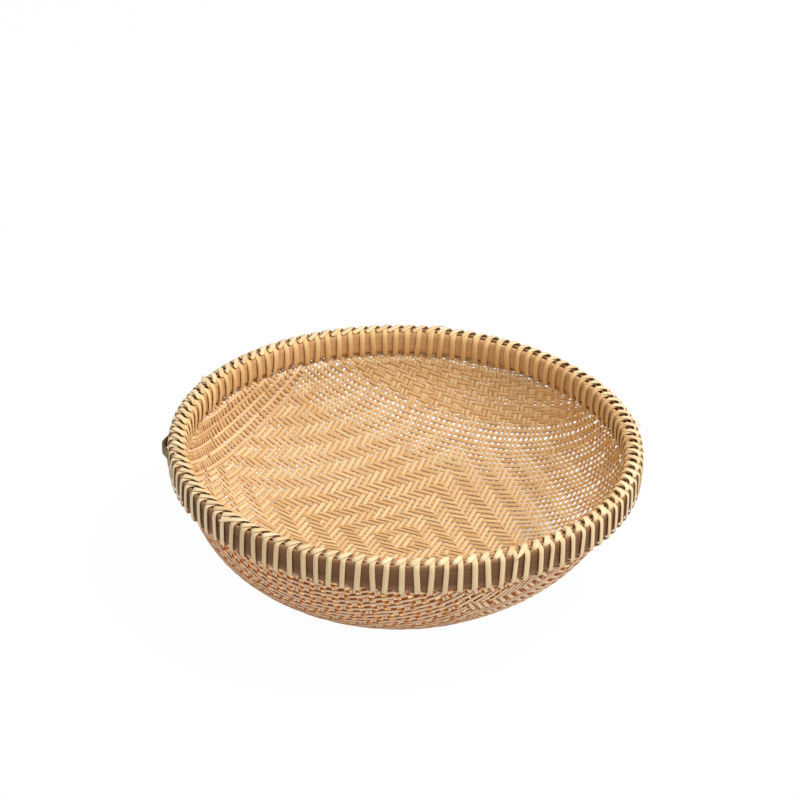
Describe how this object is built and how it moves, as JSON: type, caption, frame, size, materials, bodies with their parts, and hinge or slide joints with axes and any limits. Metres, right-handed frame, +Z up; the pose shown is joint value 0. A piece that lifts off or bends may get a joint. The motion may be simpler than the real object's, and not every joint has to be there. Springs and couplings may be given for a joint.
{
  "type": "shallow woven bamboo basket",
  "caption": "Shallow round basket of woven bamboo: a twill bowl clamped between an outer and an inner hoop by a wound rim lashing, with a small hanging loop.",
  "frame": {"origin": "on the resting plane, under the middle of the rim; the point lies on the flat base", "axes": "+Z up through the open mouth; -Y towards the viewer of the picture; +X to the viewer's right, with the hanging loop at -X"},
  "size_m": [0.2324, 0.23, 0.075],
  "materials": {
    "weave_bamboo": "dry split bamboo strips, matt to satin",
    "outer_hoop_bamboo": "aged skin side, satin",
    "inner_hoop_bamboo": "core side, fine straight grain, matt",
    "filler_bamboo": "core side, matt",
    "lashing_bamboo": "pale shaved strip, satin",
    "loop_bamboo": "dark skin side, satin"
  },
  "bodies": {
    "root": {"woven_bowl": "weave_bamboo", "outer_hoop": "outer_hoop_bamboo", "inner_hoop": "inner_hoop_bamboo", "rim_filler": "filler_bamboo", "rim_lashing_1": "lashing_bamboo", "rim_lashing_2": "lashing_bamboo", "rim_lashing_3": "lashing_bamboo", "rim_lashing_4": "lashing_bamboo", "rim_lashing_5": "lashing_bamboo", "hanging_loop": "loop_bamboo"}
  },
  "joints": []
}
